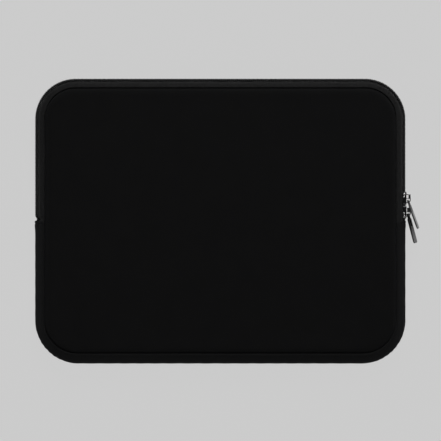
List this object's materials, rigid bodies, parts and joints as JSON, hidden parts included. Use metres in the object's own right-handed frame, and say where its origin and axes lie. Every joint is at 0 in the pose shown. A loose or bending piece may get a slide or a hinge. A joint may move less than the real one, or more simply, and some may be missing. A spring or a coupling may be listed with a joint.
{
  "type": "laptop sleeve",
  "caption": "Slim padded neoprene laptop sleeve with rounded corners, a double-slider coil zip round its upper half, a closed gusset round its lower half and bar pull tabs.",
  "frame": {"origin": "centre of the back panel's flat outer face, with the sleeve lying on its back", "axes": "+X to the right as seen from the front, +Y towards the zipped upper edge, +Z out of the front panel"},
  "size_m": [0.3866, 0.286, 0.023],
  "materials": {
    "neoprene": "black knit-faced neoprene, matt",
    "plush_lining": "dark short-pile plush",
    "zip_tape": "black woven polyester tape",
    "zip_coil": "black nylon coil, satin",
    "binding": "black grosgrain binding",
    "thread": "black polyester thread",
    "slider_metal": "polished gunmetal plating on zinc",
    "pull_metal": "satin gunmetal plating on zinc",
    "spring_steel": "bright spring steel"
  },
  "bodies": {
    "sleeve": {"back_panel": "neoprene", "back_lining": "plush_lining", "front_panel": "neoprene", "front_lining": "plush_lining", "gusset": "neoprene", "gusset_lining": "plush_lining", "back_binding": "binding", "front_binding": "binding", "back_zip_tape": "zip_tape", "back_zip_coil": "zip_coil", "front_zip_tape_left_end": "zip_tape", "front_zip_tape_right_end": "zip_tape", "front_zip_coil_left_end": "zip_coil", "front_zip_coil_right_end": "zip_coil", "end_thread_left": "thread", "end_thread_right": "thread"},
    "flap": {"flap_panel": "neoprene", "flap_lining": "plush_lining", "flap_binding": "binding", "front_zip_tape": "zip_tape", "front_zip_coil": "zip_coil"},
    "lower_slider": {"lower_slider_body": "slider_metal", "lower_slider_crown": "slider_metal", "lower_slider_spring": "spring_steel"},
    "upper_slider": {"upper_slider_body": "slider_metal", "upper_slider_crown": "slider_metal", "upper_slider_spring": "spring_steel"},
    "lower_pull": {"lower_pull_tab": "pull_metal"},
    "upper_pull": {"upper_pull_tab": "pull_metal"}
  },
  "joints": [
    {"name": "flap_fold", "type": "hinge", "parent": "sleeve", "child": "flap", "pos_m": [0, 0.031, 0.0232], "axis": [1, 0, 0], "range_deg": [0, 100]},
    {"name": "lower_slider_slide", "type": "slide", "parent": "sleeve", "child": "lower_slider", "axis": [0, 1, 0], "range_m": [0, 0.028]},
    {"name": "upper_slider_slide", "type": "slide", "parent": "lower_slider", "child": "upper_slider", "axis": [0, 1, 0], "range_m": [0, 0.042]},
    {"name": "lower_pull_swing", "type": "hinge", "parent": "lower_slider", "child": "lower_pull", "pos_m": [0.18885, 0.007, 0.0115], "axis": [0, 0, 1], "range_deg": [-8, 10]},
    {"name": "upper_pull_swing", "type": "hinge", "parent": "upper_slider", "child": "upper_pull", "pos_m": [0.18885, 0.0206, 0.0115], "axis": [0, 0, 1], "range_deg": [-2, 150]}
  ]
}
